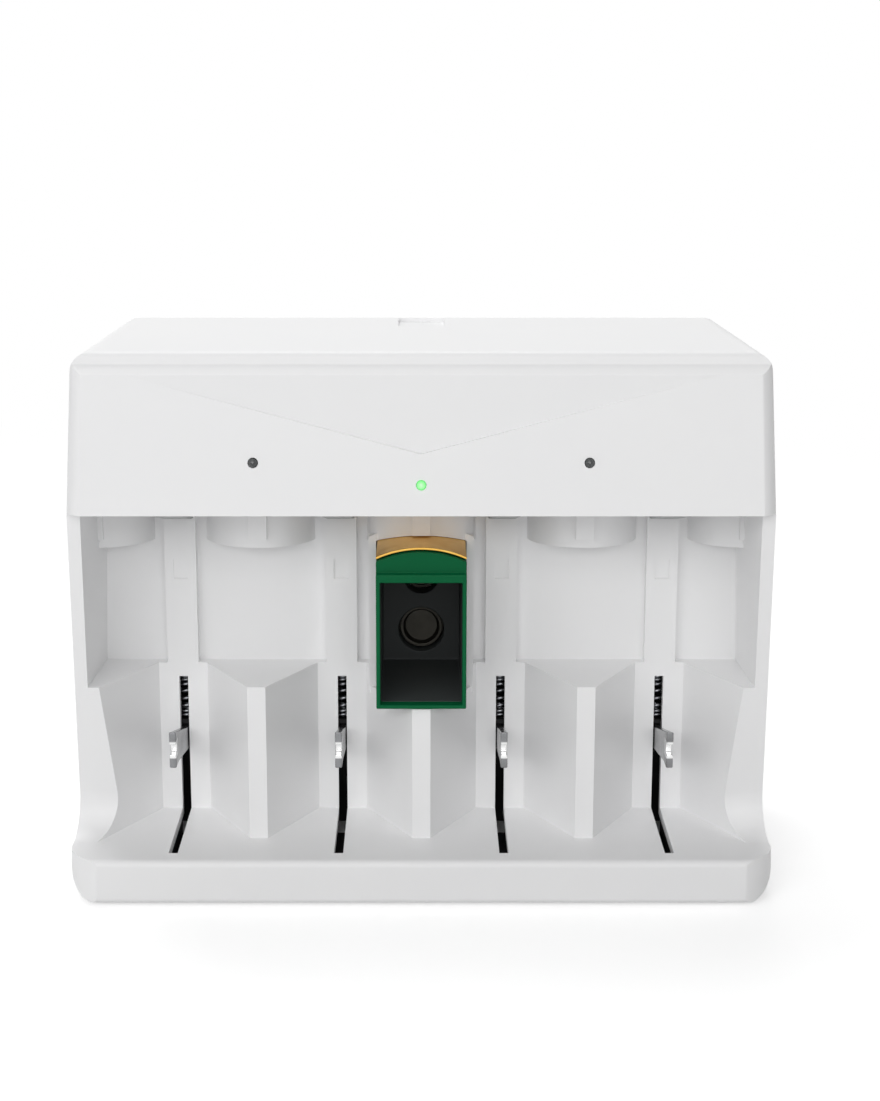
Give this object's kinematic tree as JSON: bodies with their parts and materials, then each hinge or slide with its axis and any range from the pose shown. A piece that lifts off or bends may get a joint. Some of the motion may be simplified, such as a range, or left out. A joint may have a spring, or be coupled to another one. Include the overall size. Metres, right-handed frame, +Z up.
{
  "type": "universal battery charger",
  "caption": "Upright mains charger with V-shaped cell bays, sprung sliding contacts below, fixed contacts under an overhanging head and a slide-in holder for a 9 V block.",
  "frame": {"origin": "middle of the footprint, on the surface that the feet stand on", "axes": "+X across the bays, +Y from the front to the back, +Z up; the cells go in from -Y"},
  "size_m": [0.1538, 0.07, 0.1195],
  "materials": {
    "white_plastic": "satin moulded",
    "green_plastic": "moulded",
    "black_plastic": "moulded",
    "brass": "rolled",
    "plated_contact": "nickel plated",
    "steel": "bright",
    "core_steel": "varnished laminations",
    "winding": "taped winding",
    "dark_lens": "tinted, unlit",
    "green_lens": "tinted, lit",
    "board": "solder mask",
    "capacitor_sleeve": "shrink sleeve",
    "rubber": "matt"
  },
  "bodies": {
    "housing": {"front_shell": "white_plastic", "rear_cover": "white_plastic", "nine_volt_leaf": "brass", "led_left": "dark_lens", "led_right": "dark_lens", "led_nine_volt": "green_lens", "main_board": "board", "board_screws": "steel", "control_chip": "black_plastic", "bulk_capacitor": "capacitor_sleeve", "output_capacitors": "capacitor_sleeve", "fuse": "steel", "transformer_core": "core_steel", "transformer_coil": "winding", "mains_inlet": "black_plastic", "inlet_pins": "plated_contact", "cover_screws": "steel", "rubber_feet": "rubber", "plus_contact_1": "plated_contact", "guide_1": "black_plastic", "slider_spring_1": "steel", "plus_contact_2": "plated_contact", "guide_2": "black_plastic", "slider_spring_2": "steel", "plus_contact_3": "plated_contact", "guide_3": "black_plastic", "slider_spring_3": "steel", "plus_contact_4": "plated_contact", "guide_4": "black_plastic", "slider_spring_4": "steel"},
    "slider_1": {"carriage_1": "black_plastic", "blade_1": "plated_contact"},
    "slider_2": {"carriage_2": "black_plastic", "blade_2": "plated_contact"},
    "slider_3": {"carriage_3": "black_plastic", "blade_3": "plated_contact"},
    "slider_4": {"carriage_4": "black_plastic", "blade_4": "plated_contact"},
    "nine_volt_drawer": {"nine_volt_sleeve": "green_plastic", "snap_carrier": "black_plastic", "snap_plus": "brass", "snap_minus": "brass"}
  },
  "joints": [
    {"name": "slider_1_travel", "type": "slide", "parent": "housing", "child": "slider_1", "axis": [0, 0, -1], "range_m": [0, 0.02], "stiffness_N_per_m": 120, "springref_m": -0.01, "deforming": ["slider_spring_1"]},
    {"name": "slider_2_travel", "type": "slide", "parent": "housing", "child": "slider_2", "axis": [0, 0, -1], "range_m": [0, 0.02], "stiffness_N_per_m": 120, "springref_m": -0.01, "deforming": ["slider_spring_2"]},
    {"name": "slider_3_travel", "type": "slide", "parent": "housing", "child": "slider_3", "axis": [0, 0, -1], "range_m": [0, 0.02], "stiffness_N_per_m": 120, "springref_m": -0.01, "deforming": ["slider_spring_3"]},
    {"name": "slider_4_travel", "type": "slide", "parent": "housing", "child": "slider_4", "axis": [0, 0, -1], "range_m": [0, 0.02], "stiffness_N_per_m": 120, "springref_m": -0.01, "deforming": ["slider_spring_4"]},
    {"name": "nine_volt_push", "type": "slide", "parent": "housing", "child": "nine_volt_drawer", "axis": [0, 1, 0], "range_m": [0, 0.014]}
  ]
}
